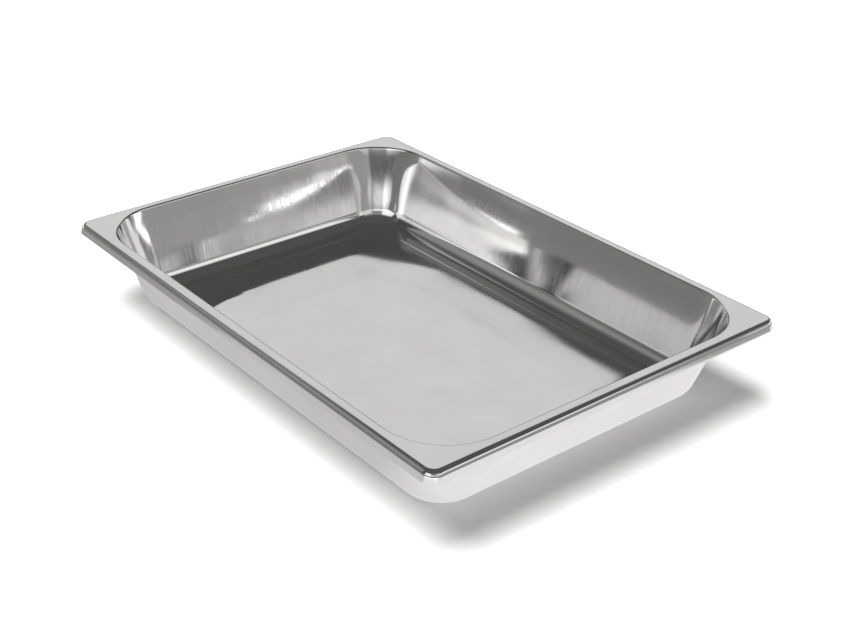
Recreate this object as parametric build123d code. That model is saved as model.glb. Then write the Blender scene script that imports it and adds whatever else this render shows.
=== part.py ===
from build123d import *
import math
import os

# Developing tray: one pan deep-drawn from polished stainless sheet, open at the top.
# Frame: origin at the centre of the underside of the base, +X along the long side,
# +Y along the short side, +Z up. Millimetres.

# Overall size
LENGTH = 442.0
WIDTH = 322.0
HEIGHT = 66.5
SHEET = 0.8

# Rim: a flat flange, its outer edge rolled down into a short lip that leans out a little
RIM_WIDTH = 11.5
RIM_CORNER_RADIUS = 11.0
LIP_HEIGHT = 8.0
LIP_LEAN = 15.0
LIP_BEND_RADIUS = 5.0

# Pan: sloping walls, wide corners and a generous bend down to the base.
# The rim width and corner radius are taken where the walls' inside would meet the rim's top.
WALL_SLOPE = 19.0
PAN_CORNER_RADIUS = 48.5
NECK_BEND_RADIUS = 2.0
BASE_BEND_RADIUS = 15.0

# Base: a flat middle, a long shallow ramp that dishes it, a small step up, and a narrow border
DISH_DEPTH = 2.5
DISH_RUN = 48.0
DISH_CORNER_RADIUS = 2.0
STEP_DEPTH = 0.4
STEP_RUN = 1.2
STEP_BEND_RADIUS = 1.6
BORDER_WIDTH = 7.0

# Flat strip that each bent section carries at its ends, where a flat plate joins it
JOIN_STRIP = 0.6


def bent_strip(corners, radii):
    """The section of a strip of sheet: its upper face runs through these corners, each bent to a
    radius, and the sheet lies on the right of that run."""
    upper_face = FilletPolyline(*corners, radius=radii)
    return make_face(offset(upper_face, amount=SHEET, side=Side.RIGHT))


def carry_round(section, length, width, radius):
    """The solids of a section carried along four straight sides and turned round four corners.
    The section's first coordinate is its distance outwards from the corner's axis."""
    pieces = []
    for quarter in range(4):
        reach, side = (length, width) if quarter % 2 == 0 else (width, length)
        axis_out = reach / 2 - radius
        half_run = side / 2 - radius
        upright = Plane.XZ * section
        straight = extrude(Pos(axis_out, half_run, 0) * upright, amount=2 * half_run)
        corner = Pos(axis_out, half_run, 0) * revolve(upright, Axis.Z, 90)
        pieces += [Rot(0, 0, 90 * quarter) * straight, Rot(0, 0, 90 * quarter) * corner]
    return pieces


def plate(length, width, radius, top):
    """A flat rounded plate of the sheet, with its upper face at this height."""
    return extrude(Pos(0, 0, top) * RectangleRounded(length, width, radius), amount=-SHEET)


def funnel(length, width, radius, bottom):
    """The space over the dished base: it widens upwards to this rounded rectangle."""
    middle = RectangleRounded(length - 2 * DISH_RUN, width - 2 * DISH_RUN, DISH_CORNER_RADIUS)
    edge = RectangleRounded(length, width, radius)
    return loft([Pos(0, 0, bottom) * middle, Pos(0, 0, bottom + DISH_DEPTH) * edge], ruled=True)


def dished_base(length, width, radius):
    """The base inside its step: the flat middle, and the ramp that rises from it."""
    lower_part = funnel(length, width, radius, 0) + plate(length, width, radius, DISH_DEPTH + SHEET)
    return lower_part - funnel(length, width, radius, SHEET)


def make_pan():
    """The whole tray, which is one piece of sheet: rim, walls and base."""
    # How far the corner axis of the walls lies in from the tray's outer edge
    axis_inset = RIM_WIDTH + PAN_CORNER_RADIUS
    ramp_top = SHEET + DISH_DEPTH
    border_top = ramp_top + STEP_DEPTH
    wall_foot = PAN_CORNER_RADIUS - (HEIGHT - border_top) * math.tan(math.radians(WALL_SLOPE))
    base_bend_reach = BASE_BEND_RADIUS * math.tan(math.radians(90 - WALL_SLOPE) / 2)
    neck_bend_reach = NECK_BEND_RADIUS * math.tan(math.radians(90 - WALL_SLOPE) / 2)
    border_edge = wall_foot - base_bend_reach - BORDER_WIDTH
    step_edge = border_edge - STEP_RUN
    ramp_edge = step_edge - JOIN_STRIP
    mouth_edge = PAN_CORNER_RADIUS + neck_bend_reach + JOIN_STRIP

    walls = bent_strip(
        [
            (ramp_edge, ramp_top),
            (step_edge, ramp_top),
            (border_edge, border_top),
            (wall_foot, border_top),
            (PAN_CORNER_RADIUS, HEIGHT),
            (mouth_edge, HEIGHT),
        ],
        [STEP_BEND_RADIUS, STEP_BEND_RADIUS, BASE_BEND_RADIUS, NECK_BEND_RADIUS],
    )
    # Where the flange's top and the lip's outside would meet, and where the bend between them starts
    lip_top = RIM_CORNER_RADIUS - LIP_HEIGHT * math.tan(math.radians(LIP_LEAN))
    lip_bend_reach = LIP_BEND_RADIUS * math.tan(math.radians(90 - LIP_LEAN) / 2)
    flat_edge = lip_top - lip_bend_reach - JOIN_STRIP
    rim = bent_strip(
        [(flat_edge, HEIGHT), (lip_top, HEIGHT), (RIM_CORNER_RADIUS, HEIGHT - LIP_HEIGHT)],
        [LIP_BEND_RADIUS],
    )

    base_inset = axis_inset - ramp_edge
    base = dished_base(LENGTH - 2 * base_inset, WIDTH - 2 * base_inset, ramp_edge)

    flange_inset = RIM_CORNER_RADIUS - flat_edge
    mouth_inset = axis_inset - mouth_edge
    flange = plate(LENGTH - 2 * flange_inset, WIDTH - 2 * flange_inset, flat_edge, HEIGHT)
    flange -= plate(LENGTH - 2 * mouth_inset, WIDTH - 2 * mouth_inset, mouth_edge, HEIGHT)

    pieces = carry_round(walls, LENGTH, WIDTH, axis_inset)
    pieces += carry_round(rim, LENGTH, WIDTH, RIM_CORNER_RADIUS)
    return base.fuse(flange, *pieces).clean()


os.makedirs("parts", exist_ok=True)
pan = make_pan()
print("pan volume mm3", round(pan.volume), "solids", len(pan.solids()))
export_step(pan, "parts/tray_pan.step")
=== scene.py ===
import math

import bmesh
import bpy
import numpy as np
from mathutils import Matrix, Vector


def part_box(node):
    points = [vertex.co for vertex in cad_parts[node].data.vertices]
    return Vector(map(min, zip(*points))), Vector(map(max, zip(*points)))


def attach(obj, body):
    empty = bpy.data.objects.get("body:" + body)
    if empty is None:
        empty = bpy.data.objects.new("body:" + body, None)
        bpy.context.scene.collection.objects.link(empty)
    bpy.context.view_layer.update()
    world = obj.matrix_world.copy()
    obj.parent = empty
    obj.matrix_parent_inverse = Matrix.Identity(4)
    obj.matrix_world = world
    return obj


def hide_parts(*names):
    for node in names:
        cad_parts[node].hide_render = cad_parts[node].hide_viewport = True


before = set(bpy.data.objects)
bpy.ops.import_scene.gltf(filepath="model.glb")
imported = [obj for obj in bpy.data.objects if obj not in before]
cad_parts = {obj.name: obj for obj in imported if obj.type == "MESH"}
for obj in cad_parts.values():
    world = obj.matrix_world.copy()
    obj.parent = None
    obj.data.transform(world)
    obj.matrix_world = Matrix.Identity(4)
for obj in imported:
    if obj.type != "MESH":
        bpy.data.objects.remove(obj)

# Looks of a polished stainless developing tray. Metres, +Z up, origin under the base's centre.

MM = 0.001
NODE = "tray_pan"

low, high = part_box(NODE)
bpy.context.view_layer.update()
LENGTH = high.x - low.x
WIDTH = high.y - low.y
HEIGHT = high.z

# The sheet's bends, as the part is made
SHEET = 0.8 * MM
RIM_WIDTH = 11.5 * MM
RIM_CORNER_RADIUS = 11.0 * MM
LIP_HEIGHT = 8.0 * MM
LIP_LEAN = math.radians(15.0)
LIP_BEND_RADIUS = 5.0 * MM
WALL_SLOPE = math.radians(19.0)
PAN_CORNER_RADIUS = 48.5 * MM
NECK_BEND_RADIUS = 2.0 * MM
BASE_BEND_RADIUS = 15.0 * MM
STEP_DEPTH = 0.4 * MM
STEP_RUN = 1.2 * MM
STEP_BEND_RADIUS = 1.6 * MM
BORDER_WIDTH = 7.0 * MM
EDGE_ROUND = 0.2 * MM

# The base is dished, and unevenly. For each side: how far inside the crease its rise starts, and how
# far inside it stops, each as stops of a place along that side (Y on the ends, X on the long sides)
# and a distance, in millimetres
DISH_DEPTH = 2.5 * MM
DISH_REACH = {
    "left": ([(-110, 78), (-30, 64), (50, 64), (90, 90)], [(-110, 36), (-30, 22)]),
    "right": ([(0, 34)], [(0, 4)]),
    "front": ([(0, 28)], [(0, 4)]),
    "back": ([(-115, 70), (-70, 43), (20, 41.5), (90, 45)], [(0, 6)]),
}
# The power of the rise's curve, and the power by which two sides' rises join in a corner
DISH_CURVE = 2
DISH_BLEND = 1.5
# How far above the crease's height a point may lie and still be dished
LEVEL_MARGIN = 0.01 * MM

# How far each wall stands out halfway up, as stops of a place along it (Y on the ends, X on the long
# sides) and a distance, in millimetres
BOWS = {
    "left": [
        (-150, 0.0), (-100, -0.5), (-60, -0.8), (-20, -0.9), (30, -0.6), (80, -0.35), (100, -0.2),
        (125, 0.8),
    ],
    "back": [
        (-190, 0.8), (-155, -0.45), (-110, -0.75), (-60, -0.8), (-15, -0.72), (25, -0.38), (90, -0.4),
        (140, -0.5), (200, 0.0),
    ],
    "right": [(-150, 0.0), (0, -0.3), (150, 0.0)],
    "front": [(-200, 0.0), (0, -0.3), (200, 0.0)],
}
# The height at which the walls begin to bow
SPRING_FOOT = 10 * MM
PAN_AXIS_INSET = RIM_WIDTH + PAN_CORNER_RADIUS
LIP_FOOT = HEIGHT - LIP_HEIGHT

# The camera looks at a point near the tray's middle, from its front right and above. The sensor and
# the lens are in millimetres, and the shift is a share of the picture's width.
CAMERA_TARGET = Vector((-0.05272, -0.01619, 0.0025))
CAMERA_DISTANCE = 1.1177
CAMERA_AZIMUTH = math.radians(52.787)
CAMERA_ELEVATION = math.radians(29.014)
CAMERA_ROLL = math.radians(0.197)
SENSOR_WIDTH = 36.0
LENS = 59.368
SHIFT = 0.09489

# The studio round the tray is dim, with soft windows. For each window, in degrees: the turn to its
# middle (to the right, from the way back to the camera), how far to its sides it is full and ends,
# the heights where it fades in and where it fades out; and its strength
STUDIO_GREY = 0.09
STUDIO_TINT = (1.0, 0.997, 0.992, 1.0)
WINDOWS = [
    (180, (34, 46), (12, 19), (39, 50), 0.64),
    (0, (40, 70), (8, 18), (45, 60), 0.2),
    (-42, (18, 26), (11, 18), (42, 56), 0.85),
    (-10, (14, 32), (14, 20), (24.5, 28), 0.8),
    (38, (14, 22), (8, 16), (36, 50), 0.45),
    (73, (12, 22), (15, 20), (33, 41), 0.9),
    (-110, (10, 26), (10, 24), (38, 56), 0.2),
]
# Cards and brighter bars that only the metal sees. Those that stand upright: name, turn in degrees,
# distance, the ends of its width, and stops of height and glow
CARDS = [
    (
        "card_right", 69, 0.56, (-0.6, 0.6),
        [(0.0, 0.42), (0.05, 0.32), (0.09, 0.2), (0.12, 0.36), (0.26, 0.34)],
    ),
    ("card_left", -97, 0.42, (-0.6, 0.6), [(0.0, 0.42), (0.04, 0.36), (0.07, 0.24), (0.2, 0.17)]),
]
BARS = [
    (
        "bar_patch", 69, 0.55, (-0.1, -0.07),
        [(0.085, 0.15), (0.1, 0.42), (0.13, 0.42), (0.14, 0.15)],
    ),
    (
        "bar_right", 69, 0.55, (-0.6, -0.112),
        [(0.126, 0.15), (0.133, 1.0), (0.16, 1.0), (0.168, 0.15)],
    ),
    ("bar_left", -97, 0.41, (0.08, 0.6), [(0.07, 0.15), (0.076, 1.0), (0.09, 1.0), (0.096, 0.15)]),
]
CARD_GLOW = 1.0
BAR_GLOW = 2.4
CARD_TINT = (1.0, 0.995, 0.985, 1.0)
# The card on the floor under and round the tray: two of its corners, and stops of X and glow
FLOOR_CARD = ((-0.8, -0.8), (0.8, 0.6), [(-0.8, 0.62), (0.12, 0.63), (0.19, 0.95), (0.8, 0.95)])
FLOOR_CARD_DROP = 0.1 * MM

FLOOR_REACH = 12.0
FLOOR_DROP = 0.2 * MM
FLOOR_COLOUR = (0.92, 0.92, 0.92, 1.0)
FLOOR_LIGHT = 230.0
FLOOR_LIGHT_SIZE = 3.0
FLOOR_LIGHT_PLACE = (-0.5, -1.0, 3.0)

# The steel. Roughness from clear to hazy patches, and how much each kind of wear adds to it
HAZE_ROUGHNESS = (0.05, 0.09)
BRUSHED_ROUGHNESS = 0.1
SCRATCH_ROUGHNESS = 0.1
MARK_ROUGHNESS = 0.4
# Its relief, in millimetres
WAVE_RELIEF = 0.05
BRUSHED_RELIEF = 0.0008
POLISH_RELIEF = 0.0006
SCRATCH_RELIEF = 0.003
# Its colour, and how much the brushing's lines shift it
DARK_STEEL = (0.77, 0.766, 0.758, 1.0)
LIGHT_STEEL = (0.825, 0.824, 0.82, 1.0)
MARK_COLOUR = (0.22, 0.2, 0.18, 1.0)
BRUSHED_TONE = -0.4
# Specks: cells per metre, each speck's radius, and the chance value above which a cell has one
MARK_CELLS = 16.0
MARK_RADIUS = 0.6 * MM
MARK_CHANCE = 0.8

# How finely the mesh follows the shape
LONG_SIDE_POINTS = 72
SHORT_SIDE_POINTS = 48
CORNER_POINTS = 28
BEND_STEP = math.radians(5.0)
BEND_STEPS_LEAST = 4
WALL_SPACING = 3 * MM
LIP_SPACING = 1.5 * MM
WEB_RINGS = 4
CREASE_STRIP = 1.2 * MM
SHADING_HOLD = 0.4 * MM


def turned(direction, angle):
    """A 2-D direction turned left by an angle."""
    cos, sin = math.cos(angle), math.sin(angle)
    return np.array([direction[0] * cos - direction[1] * sin, direction[0] * sin + direction[1] * cos])


def straight_points(start, end, spacing):
    """Points between the ends of a straight, with one close to each end to keep its shading flat."""
    length = np.linalg.norm(end - start)
    hold = min(SHADING_HOLD / length, 0.25)
    steps = max(1, round(length / spacing))
    shares = hold + (1 - 2 * hold) * np.arange(steps + 1) / steps
    return [start + (end - start) * share for share in shares]


def bent_run(corners, radii, spacing):
    """Points and left-hand normals along a run through these corners, each bent to its radius."""
    corners = [np.array(corner, float) for corner in corners]
    points, normals = [], []
    start = corners[0]
    for before, corner, after, radius in zip(corners, corners[1:], corners[2:], radii):
        into = (corner - before) / np.linalg.norm(corner - before)
        out = (after - corner) / np.linalg.norm(after - corner)
        turn = math.atan2(into[0] * out[1] - into[1] * out[0], into @ out)
        bend_start = corner - into * radius * math.tan(abs(turn) / 2)
        straight = straight_points(start, bend_start, spacing)
        points += straight
        normals += [turned(into, math.pi / 2)] * len(straight)
        to_centre = turned(into, math.copysign(math.pi / 2, turn))
        centre = bend_start + to_centre * radius
        steps = max(BEND_STEPS_LEAST, math.ceil(abs(turn) / BEND_STEP))
        for step in range(steps + 1):
            angle = turn * step / steps
            points.append(centre - turned(to_centre, angle) * radius)
            normals.append(turned(into, math.pi / 2 + angle))
        start = corner + out * radius * math.tan(abs(turn) / 2)
    straight = straight_points(start, corners[-1], spacing)
    points += straight
    normals += [turned(out, math.pi / 2)] * len(straight)
    return np.array(points), np.array(normals)


def outline(axis_inset):
    """Points of the corner axes' outline, counter-clockwise from the right side's front end, and
    the outward direction at each. A ring of the tray lies at one distance out from these points."""
    half_long = LENGTH / 2 - axis_inset
    half_short = WIDTH / 2 - axis_inset
    axes, outward = [], []
    corners = [
        (half_long, -half_short),
        (half_long, half_short),
        (-half_long, half_short),
        (-half_long, -half_short),
    ]
    for side in range(4):
        start, end = np.array(corners[side]), np.array(corners[(side + 1) % 4])
        side_out = turned(np.array([1.0, 0.0]), side * math.pi / 2)
        count = SHORT_SIDE_POINTS if side % 2 == 0 else LONG_SIDE_POINTS
        for step in range(count):
            axes.append(start + (end - start) * step / count)
            outward.append(side_out)
        for step in range(CORNER_POINTS):
            axes.append(end)
            outward.append(turned(side_out, math.pi / 2 * step / CORNER_POINTS))
    return np.array(axes), np.array(outward)


def rings(section, normals, axis_inset):
    """Carries section points (distance out from the corner axis, height) round the tray."""
    axes, outward = outline(axis_inset)
    flat = axes[None] + outward[None] * section[:, None, :1]
    height = np.broadcast_to(section[:, 1, None, None], flat.shape[:2] + (1,))
    tilt = outward[None] * normals[:, None, :1]
    rise = np.broadcast_to(normals[:, 1, None, None], flat.shape[:2] + (1,))
    return np.concatenate([flat, height], 2), np.concatenate([tilt, rise], 2)


def wall_foot_out():
    """How far out from the corner axis the walls' slope meets the border's height."""
    return PAN_CORNER_RADIUS - (HEIGHT - SHEET - DISH_DEPTH - STEP_DEPTH) * math.tan(WALL_SLOPE)


def step_edge_out():
    """How far out from the corner axis the base's crease lies."""
    bend_reach = BASE_BEND_RADIUS * math.tan((math.pi / 2 - WALL_SLOPE) / 2)
    return wall_foot_out() - bend_reach - BORDER_WIDTH - STEP_RUN


def spring_walls(points, normals):
    """Moves the walls out or in by a hair from their plain slope, as drawn sheet springs."""
    share = (points[..., 2] - SPRING_FOOT) / (HEIGHT - NECK_BEND_RADIUS - SPRING_FOOT)
    share = np.clip(share, 0, 1)
    level = normals[..., :2]
    inward = level / np.maximum(np.linalg.norm(level, axis=-1, keepdims=True), 1e-9)
    moved = points.copy()
    moved[..., :2] -= inward * wall_bow(points[..., 0], points[..., 1], share)[..., None]
    return moved


def eased(place, stops):
    """A smooth curve through stops of place and amount, in millimetres."""
    places, amounts = (np.array(column) * MM for column in zip(*stops))
    total = np.zeros_like(place) + amounts[0]
    for start, end, before, after in zip(places, places[1:], amounts, amounts[1:]):
        share = np.clip((place - start) / (end - start), 0, 1)
        total += (after - before) * share * share * (3 - 2 * share)
    return total


def wall_bow(x, y, share):
    """How far the walls stand out past their plain slope, at a place and a share of their height.
    It is nothing at their foot and top, and all of it halfway up."""
    at_side = np.abs(y) - WIDTH / 2 > np.abs(x) - LENGTH / 2
    along_side = np.where(y > 0, eased(x, BOWS["back"]), eased(x, BOWS["front"]))
    along_end = np.where(x < 0, eased(y, BOWS["left"]), eased(y, BOWS["right"]))
    return np.where(at_side, along_side, along_end) * (4 * share * (1 - share)) ** 2


def upper_face():
    """Rings of the sheet's upper face, from the base's crease out to the lip's edge, and normals."""
    ramp_top = SHEET + DISH_DEPTH
    border_top = ramp_top + STEP_DEPTH
    wall_foot = wall_foot_out()
    half_turn = math.tan((math.pi / 2 - WALL_SLOPE) / 2)
    step_edge = step_edge_out()
    border_edge = step_edge + STEP_RUN
    mouth_edge = PAN_CORNER_RADIUS + NECK_BEND_RADIUS * half_turn + SHADING_HOLD
    pan_run = bent_run(
        [
            (step_edge - CREASE_STRIP, ramp_top),
            (step_edge, ramp_top),
            (border_edge, border_top),
            (wall_foot, border_top),
            (PAN_CORNER_RADIUS, HEIGHT),
            (mouth_edge, HEIGHT),
        ],
        [STEP_BEND_RADIUS, STEP_BEND_RADIUS, BASE_BEND_RADIUS, NECK_BEND_RADIUS],
        WALL_SPACING,
    )
    lip_top = RIM_CORNER_RADIUS - LIP_HEIGHT * math.tan(LIP_LEAN)
    flat_edge = lip_top - LIP_BEND_RADIUS * math.tan((math.pi / 2 - LIP_LEAN) / 2) - SHADING_HOLD
    lip_run = bent_run(
        [
            (flat_edge, HEIGHT),
            (lip_top, HEIGHT),
            (
                RIM_CORNER_RADIUS - EDGE_ROUND * math.sin(LIP_LEAN),
                LIP_FOOT + EDGE_ROUND * math.cos(LIP_LEAN),
            ),
        ],
        [LIP_BEND_RADIUS],
        LIP_SPACING,
    )
    pan, pan_normals = rings(*pan_run, PAN_AXIS_INSET)
    pan = spring_walls(pan, pan_normals)
    lip, lip_normals = rings(*lip_run, RIM_CORNER_RADIUS)
    shares = np.linspace(0, 1, WEB_RINGS + 2)[1:-1, None, None]
    web = pan[-1] * (1 - shares) + lip[0] * shares
    web_normals = np.broadcast_to([0.0, 0.0, 1.0], web.shape)
    return np.concatenate([pan, web, lip]), np.concatenate([pan_normals, web_normals, lip_normals])


def cut_edge():
    """Rings of the lip's cut edge, slightly rounded, from its outside to its inside."""
    down = np.array([math.sin(LIP_LEAN), -math.cos(LIP_LEAN)])
    out = np.array([math.cos(LIP_LEAN), math.sin(LIP_LEAN)])
    middle = np.array([RIM_CORNER_RADIUS, LIP_FOOT]) - out * SHEET / 2 - down * EDGE_ROUND
    section = []
    for side in (1, -1):
        for angle in np.radians([30, 60, 90])[::side]:
            turn = out * side * math.cos(angle) + down * math.sin(angle)
            section.append(middle + out * side * (SHEET / 2 - EDGE_ROUND) + turn * EDGE_ROUND)
    section = np.array(section)
    return rings(section, np.zeros_like(section), RIM_CORNER_RADIUS)[0]


def base_grid(ring):
    """A grid of points that fills the inside of a ring, and where its edge points lie in the ring."""
    along = LONG_SIDE_POINTS + CORNER_POINTS
    across = SHORT_SIDE_POINTS + CORNER_POINTS
    first = -CORNER_POINTS // 2
    right = ring[np.arange(first, first + across + 1)]
    back = ring[np.arange(first + across, first + across + along + 1)][::-1]
    left = ring[np.arange(first + across + along, first + 2 * across + along + 1) % len(ring)][::-1]
    front = ring[np.arange(first - along, first + 1)]
    u = np.linspace(0, 1, along + 1)[None, :, None]
    v = np.linspace(0, 1, across + 1)[:, None, None]
    edges = front[None] * (1 - v) + back[None] * v + left[:, None] * (1 - u) + right[:, None] * u
    corners = (
        front[0] * (1 - u) * (1 - v)
        + front[-1] * u * (1 - v)
        + back[0] * (1 - u) * v
        + back[-1] * u * v
    )
    return edges - corners


def edge_indices(count):
    """For each edge point of the base grid, its row, column and place in a ring of so many points."""
    along = LONG_SIDE_POINTS + CORNER_POINTS
    across = SHORT_SIDE_POINTS + CORNER_POINTS
    first = -CORNER_POINTS // 2
    places = []
    for step in range(across):
        places.append((step, along, (first + step) % count))
        places.append((across - step, 0, (first + across + along + step) % count))
    for step in range(along):
        places.append((across, along - step, (first + across + step) % count))
        places.append((0, step, (first - along + step) % count))
    return places


def bend_base(points):
    """Dishes the base inside its crease, which stands at the dish's full depth."""
    moved = points.copy()
    crease = PAN_AXIS_INSET - step_edge_out()
    inside = {
        "left": points[..., 0] + LENGTH / 2 - crease,
        "right": LENGTH / 2 - crease - points[..., 0],
        "front": points[..., 1] + WIDTH / 2 - crease,
        "back": WIDTH / 2 - crease - points[..., 1],
    }
    rise = 0
    for side, (starts, stops) in DISH_REACH.items():
        along = points[..., 1 if side in ("left", "right") else 0]
        start, stop = eased(along, starts), eased(along, stops)
        share = np.clip((start - inside[side]) / (start - stop), 0, 1)
        rise = rise + share ** (DISH_CURVE * DISH_BLEND)
    drop = DISH_DEPTH * (1 - np.minimum(rise, 1) ** (1 / DISH_BLEND))
    moved[..., 2] -= np.where(points[..., 2] < SHEET + DISH_DEPTH + LEVEL_MARGIN, drop, 0)
    return moved


def make_pan():
    """The whole tray as one closed mesh of quads."""
    upper, normals = upper_face()
    lower = upper - normals * SHEET
    edge = cut_edge()
    loops = np.concatenate([upper, edge, lower[::-1]])
    loop_count, ring_count = loops.shape[:2]
    vertices = [loops.reshape(-1, 3)]
    start = loop_count * ring_count
    faces = []
    for row in range(loop_count - 1):
        for place in range(ring_count):
            after = (place + 1) % ring_count
            near, far = row * ring_count, (row + 1) * ring_count
            faces.append((near + place, far + place, far + after, near + after))
    for ring_row, is_upper in ((0, True), (loop_count - 1, False)):
        grid = base_grid(loops[ring_row])
        rows, columns = grid.shape[:2]
        numbers = np.arange(rows * columns).reshape(rows, columns) + start
        vertices.append(grid.reshape(-1, 3))
        start += rows * columns
        for row, column, place in edge_indices(ring_count):
            numbers[row, column] = ring_row * ring_count + place
        for row in range(rows - 1):
            for column in range(columns - 1):
                quad = (
                    numbers[row, column],
                    numbers[row, column + 1],
                    numbers[row + 1, column + 1],
                    numbers[row + 1, column],
                )
                faces.append(quad if is_upper else quad[::-1])
    points = bend_base(np.concatenate(vertices))
    mesh = bpy.data.meshes.new("pan_sheet")
    mesh.from_pydata(points.tolist(), [], [tuple(int(n) for n in face) for face in faces])
    mesh.validate()
    piece = bpy.data.objects.new("pan_sheet", mesh)
    bpy.context.scene.collection.objects.link(piece)
    return piece


def drop_loose_points(piece):
    """Removes the grid's own edge points, which the rings' points stand in for."""
    work = bmesh.new()
    work.from_mesh(piece.data)
    loose = [vertex for vertex in work.verts if not vertex.link_faces]
    bmesh.ops.delete(work, geom=loose, context="VERTS")
    work.to_mesh(piece.data)
    work.free()
    piece.data.shade_smooth()


def make_camera():
    """The camera stands to the front right of the tray and looks down at it."""
    away = Vector((
        math.sin(CAMERA_AZIMUTH) * math.cos(CAMERA_ELEVATION),
        -math.cos(CAMERA_AZIMUTH) * math.cos(CAMERA_ELEVATION),
        math.sin(CAMERA_ELEVATION),
    ))
    data = bpy.data.cameras.new("camera")
    data.sensor_width = SENSOR_WIDTH
    data.lens = LENS
    data.shift_x = SHIFT
    camera = bpy.data.objects.new("camera", data)
    camera.location = CAMERA_TARGET + away * CAMERA_DISTANCE
    camera.rotation_euler = (-away).to_track_quat("-Z", "Y").to_euler()
    camera.rotation_euler.rotate_axis("Z", CAMERA_ROLL)
    bpy.context.scene.collection.objects.link(camera)
    bpy.context.scene.camera = camera


def facing(azimuth):
    """A level direction, given by its turn to the right in degrees, from the way back to the
    camera."""
    turn = CAMERA_AZIMUTH + math.radians(azimuth)
    return Vector((math.sin(turn), -math.cos(turn), 0.0))


def add_math(tree, operation, first, second=None):
    """A Math node with these inputs, each a number or a socket. Gives its output."""
    node = tree.nodes.new("ShaderNodeMath")
    node.operation = operation
    for socket, value in zip(node.inputs, (first, second)):
        if isinstance(value, bpy.types.NodeSocket):
            tree.links.new(value, socket)
        elif value is not None:
            socket.default_value = value
    return node.outputs[0]


def add_share(tree, total, value, amount):
    """A total plus this much of a value."""
    return add_math(tree, "ADD", total, add_math(tree, "MULTIPLY", value, amount))


def spread(tree, value, low_in, high_in, low_out, high_out):
    """Eases a value from one range to another."""
    node = tree.nodes.new("ShaderNodeMapRange")
    node.interpolation_type = "SMOOTHSTEP"
    tree.links.new(value, node.inputs["Value"])
    ends = {"From Min": low_in, "From Max": high_in, "To Min": low_out, "To Max": high_out}
    for name, number in ends.items():
        node.inputs[name].default_value = number
    return node.outputs["Result"]


def axes_of(tree, vector):
    """A vector's three parts, as outputs "X", "Y" and "Z"."""
    split = tree.nodes.new("ShaderNodeSeparateXYZ")
    tree.links.new(vector, split.inputs[0])
    return split.outputs


def place_of(tree):
    """The place of a point in its object's own frame, as outputs "X", "Y" and "Z"."""
    return axes_of(tree, tree.nodes.new("ShaderNodeTexCoord").outputs["Object"])


def make_surroundings():
    """A dim studio with soft pale windows round it."""
    world = bpy.data.worlds.new("studio")
    bpy.context.scene.world = world
    world.use_nodes = True
    tree = world.node_tree
    direction = tree.nodes.new("ShaderNodeTexCoord").outputs["Generated"]
    rise = axes_of(tree, direction)["Z"]
    # How level the direction is. The little over 1 keeps it above 0 straight up.
    level = add_math(tree, "SUBTRACT", 1.0001, add_math(tree, "POWER", rise, 2.0))
    level = add_math(tree, "SQRT", level)
    total = None
    for azimuth, sides, fade_in, fade_out, strength in WINDOWS:
        dot = tree.nodes.new("ShaderNodeVectorMath")
        dot.operation = "DOT_PRODUCT"
        tree.links.new(direction, dot.inputs[0])
        dot.inputs[1].default_value = facing(azimuth)
        near, far = np.cos(np.radians(sides))
        across = add_math(tree, "DIVIDE", dot.outputs["Value"], level)
        across = spread(tree, across, far, near, 0.0, strength)
        low_edge = spread(tree, rise, *np.sin(np.radians(fade_in)), 0.0, 1.0)
        high_edge = spread(tree, rise, *np.sin(np.radians(fade_out)), 1.0, 0.0)
        window = add_math(tree, "MULTIPLY", across, add_math(tree, "MULTIPLY", low_edge, high_edge))
        total = window if total is None else add_math(tree, "ADD", total, window)
    total = add_math(tree, "ADD", total, STUDIO_GREY)
    background = tree.nodes["Background"]
    background.inputs["Color"].default_value = STUDIO_TINT
    tree.links.new(total, background.inputs["Strength"])


def flat_square(low_corner, high_corner):
    """The corners of a level rectangle between these two, counter-clockwise from the first."""
    (x0, y0), (x1, y1) = low_corner, high_corner
    return [(x0, y0, 0), (x1, y0, 0), (x1, y1, 0), (x0, y1, 0)]


def make_floor():
    """The plain pale surface that the tray stands on."""
    mesh = bpy.data.meshes.new("floor")
    corners = flat_square((-FLOOR_REACH, -FLOOR_REACH), (FLOOR_REACH, FLOOR_REACH))
    mesh.from_pydata(corners, [], [(0, 1, 2, 3)])
    floor = bpy.data.objects.new("floor", mesh)
    floor.location.z = -FLOOR_DROP
    bpy.context.scene.collection.objects.link(floor)
    material = bpy.data.materials.new("floor")
    material.use_nodes = True
    shader = material.node_tree.nodes["Principled BSDF"]
    shader.inputs["Base Color"].default_value = FLOOR_COLOUR
    shader.inputs["Roughness"].default_value = 0.9
    shader.inputs["Specular IOR Level"].default_value = 0.1
    mesh.materials.append(material)


def add_ramp(tree, value, stops):
    """A ramp through these stops of place and grey."""
    first, last = stops[0][0], stops[-1][0]
    ramp = tree.nodes.new("ShaderNodeValToRGB")
    elements = ramp.color_ramp.elements
    while len(elements) < len(stops):
        elements.new(0.5)
    for element, (place, grey) in zip(elements, stops):
        element.position = (place - first) / (last - first)
        element.color = (grey, grey, grey, 1.0)
    share = tree.nodes.new("ShaderNodeMapRange")
    tree.links.new(value, share.inputs["Value"])
    share.inputs["From Min"].default_value = first
    share.inputs["From Max"].default_value = last
    tree.links.new(share.outputs["Result"], ramp.inputs[0])
    return ramp.outputs[0]


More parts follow.
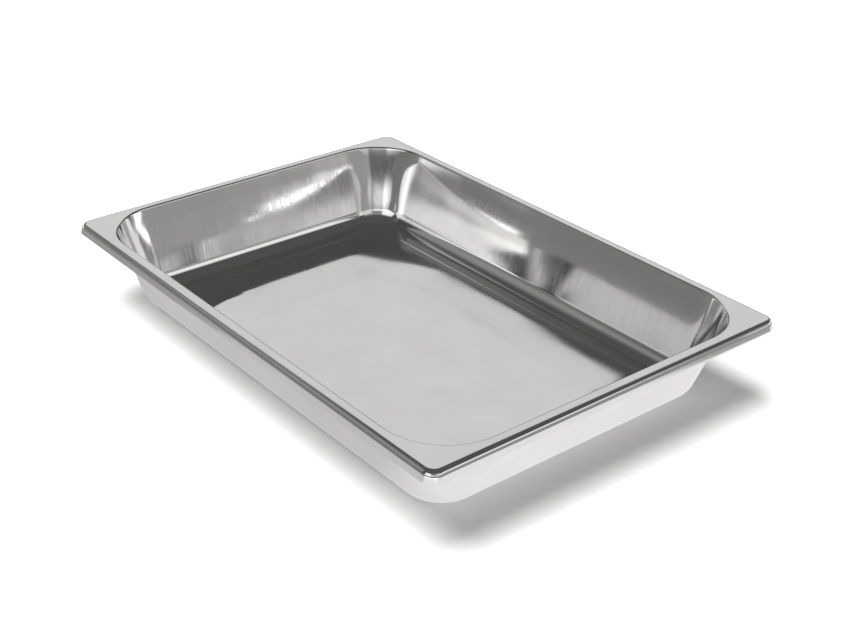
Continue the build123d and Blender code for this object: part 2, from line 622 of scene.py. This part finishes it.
def make_card(name, corners):
    """A glowing card that is seen only in the metal's reflections. Gives it and its glow."""
    mesh = bpy.data.meshes.new(name)
    mesh.from_pydata(corners, [], [(0, 1, 2, 3)])
    card = bpy.data.objects.new(name, mesh)
    bpy.context.scene.collection.objects.link(card)
    material = bpy.data.materials.new(name)
    material.use_nodes = True
    tree = material.node_tree
    tree.nodes.remove(tree.nodes["Principled BSDF"])
    glow = tree.nodes.new("ShaderNodeEmission")
    tree.links.new(glow.outputs[0], tree.nodes["Material Output"].inputs["Surface"])
    glow.inputs["Color"].default_value = CARD_TINT
    mesh.materials.append(material)
    card.visible_camera = False
    card.visible_diffuse = False
    card.visible_shadow = False
    return card, glow


def make_upright_card(name, azimuth, distance, ends, stops, strength):
    """A card that stands beside the tray and glows differently up its height."""
    start, end = ends
    bottom, top = stops[0][0], stops[-1][0]
    card, glow = make_card(name, [(start, 0, bottom), (end, 0, bottom), (end, 0, top), (start, 0, top)])
    towards = facing(azimuth)
    card.location = towards * distance
    card.rotation_euler = towards.to_track_quat("Y", "Z").to_euler()
    tree = card.data.materials[0].node_tree
    level = add_ramp(tree, place_of(tree)["Z"], stops)
    tree.links.new(add_math(tree, "MULTIPLY", level, strength), glow.inputs["Strength"])


def make_floor_card(low_corner, high_corner, stops):
    """A card on the floor round the tray, which keeps its outside as bright as an open floor."""
    card, glow = make_card("card_floor", flat_square(low_corner, high_corner))
    card.location.z = -FLOOR_CARD_DROP
    tree = card.data.materials[0].node_tree
    tree.links.new(add_ramp(tree, place_of(tree)["X"], stops), glow.inputs["Strength"])


def make_floor_light():
    """A broad light overhead for the floor alone; the metal has the studio round it to show."""
    data = bpy.data.lights.new("floor_light", "AREA")
    data.shape = "DISK"
    data.size = FLOOR_LIGHT_SIZE
    data.energy = FLOOR_LIGHT
    light = bpy.data.objects.new("floor_light", data)
    light.location = FLOOR_LIGHT_PLACE
    light.visible_glossy = False
    bpy.context.scene.collection.objects.link(light)


def stretched_noise(tree, place, turn, scale, detail):
    """Noise in the piece's own frame, turned by angles in degrees and scaled along each axis, per
    metre."""
    mapping = tree.nodes.new("ShaderNodeMapping")
    mapping.inputs["Rotation"].default_value = [math.radians(angle) for angle in turn]
    mapping.inputs["Scale"].default_value = scale
    tree.links.new(place, mapping.inputs["Vector"])
    noise = tree.nodes.new("ShaderNodeTexNoise")
    noise.inputs["Scale"].default_value = 1.0
    noise.inputs["Detail"].default_value = detail
    tree.links.new(mapping.outputs["Vector"], noise.inputs["Vector"])
    return noise.outputs["Fac"]


def specks(tree, place, scale, size):
    """Small round marks, in some cells one each: 1 in their middle and 0 round them."""
    cells = tree.nodes.new("ShaderNodeTexVoronoi")
    cells.inputs["Scale"].default_value = scale
    tree.links.new(place, cells.inputs["Vector"])
    mark = spread(tree, cells.outputs["Distance"], size * scale * 0.5, size * scale, 1.0, 0.0)
    chance = axes_of(tree, cells.outputs["Color"])["X"]
    return add_math(tree, "MULTIPLY", mark, add_math(tree, "GREATER_THAN", chance, MARK_CHANCE))


def brushing(tree, place, normal):
    """The lines of the brushing, 0 to 1, and how strongly each place is brushed."""
    height = axes_of(tree, place)["Z"]
    facing_axes = axes_of(tree, normal)
    on_ends = spread(tree, add_math(tree, "ABSOLUTE", facing_axes["X"]), 0.45, 0.75, 0.0, 1.0)
    lines = tree.nodes.new("ShaderNodeMix")
    tree.links.new(on_ends, lines.inputs["Factor"])
    side_lines = stretched_noise(tree, place, (0, 22, 0), (620, 40, 42), 4)
    end_lines = stretched_noise(tree, place, (-22, 0, 0), (40, 620, 42), 4)
    tree.links.new(side_lines, lines.inputs["A"])
    tree.links.new(end_lines, lines.inputs["B"])
    lines = spread(tree, lines.outputs["Result"], 0.3, 0.7, 0.0, 1.0)

    # Brushed most inside the ends, less inside the long sides, and hardly outside or on the rim
    strength = spread(tree, height, 6 * MM, 22 * MM, 0.0, 1.0)
    limits = [
        spread(tree, facing_axes["Z"], -0.1, 0.2, 0.12, 1.0),
        spread(tree, facing_axes["Z"], 0.8, 0.97, 1.0, 0.15),
        spread(tree, on_ends, 0.0, 1.0, 0.45, 1.0),
        spread(tree, height, 52 * MM, 59 * MM, 1.0, 0.0),
    ]
    for limit in limits:
        strength = add_math(tree, "MULTIPLY", strength, limit)
    return lines, strength


def stainless():
    """Polished stainless sheet: bright on the base, faintly brushed on the walls, with fine
    scratches, hazy patches and a few specks."""
    material = bpy.data.materials.new("polished_stainless")
    material.use_nodes = True
    tree = material.node_tree
    shader = tree.nodes["Principled BSDF"]
    shader.inputs["Metallic"].default_value = 1.0
    coordinates = tree.nodes.new("ShaderNodeTexCoord")
    place = coordinates.outputs["Object"]

    haze = stretched_noise(tree, place, (0, 0, 0), (24, 24, 24), 4)
    polish = stretched_noise(tree, place, (0, 0, 28), (14, 520, 520), 2)
    scratches = stretched_noise(tree, place, (52, 24, -32), (16, 700, 700), 2)
    scratches = spread(tree, scratches, 0.7, 0.76, 0.0, 1.0)
    waves = stretched_noise(tree, place, (0, 0, 0), (30, 30, 55), 1)
    marks = specks(tree, place, MARK_CELLS, MARK_RADIUS)
    lines, on_walls = brushing(tree, place, coordinates.outputs["Normal"])
    brushed = add_math(tree, "MULTIPLY", lines, on_walls)

    roughness = spread(tree, haze, 0.25, 0.75, *HAZE_ROUGHNESS)
    roughness = add_share(tree, roughness, brushed, BRUSHED_ROUGHNESS)
    roughness = add_share(tree, roughness, scratches, SCRATCH_ROUGHNESS)
    roughness = add_share(tree, roughness, marks, MARK_ROUGHNESS)
    tree.links.new(roughness, shader.inputs["Roughness"])

    tone = tree.nodes.new("ShaderNodeValToRGB")
    stops = tone.color_ramp.elements
    stops[0].position, stops[0].color = 0.3, DARK_STEEL
    stops[1].position, stops[1].color = 0.7, LIGHT_STEEL
    grain = add_math(tree, "SUBTRACT", lines, 0.5)
    grain = add_math(tree, "MULTIPLY", grain, add_math(tree, "MULTIPLY", on_walls, BRUSHED_TONE))
    tree.links.new(add_math(tree, "ADD", haze, grain), tone.inputs[0])
    dulled = tree.nodes.new("ShaderNodeMix")
    dulled.data_type = "RGBA"
    tree.links.new(marks, dulled.inputs["Factor"])
    tree.links.new(tone.outputs[0], dulled.inputs["A"])
    dulled.inputs["B"].default_value = MARK_COLOUR
    tree.links.new(dulled.outputs["Result"], shader.inputs["Base Color"])

    relief = add_math(tree, "MULTIPLY", waves, add_math(tree, "MULTIPLY", on_walls, WAVE_RELIEF))
    relief = add_share(tree, relief, brushed, BRUSHED_RELIEF)
    relief = add_share(tree, relief, polish, POLISH_RELIEF)
    relief = add_share(tree, relief, scratches, -SCRATCH_RELIEF)
    bump = tree.nodes.new("ShaderNodeBump")
    bump.inputs["Strength"].default_value = 1.0
    bump.inputs["Distance"].default_value = MM
    tree.links.new(relief, bump.inputs["Height"])
    tree.links.new(bump.outputs["Normal"], shader.inputs["Normal"])
    return material


make_camera()
make_surroundings()
make_floor()
make_floor_light()
for card in CARDS:
    make_upright_card(*card, CARD_GLOW)
for bar in BARS:
    make_upright_card(*bar, BAR_GLOW)
make_floor_card(*FLOOR_CARD)
pan = make_pan()
drop_loose_points(pan)
pan.data.materials.append(stainless())
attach(pan, "root")
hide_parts(NODE)
bpy.context.scene.view_settings.view_transform = "Standard"
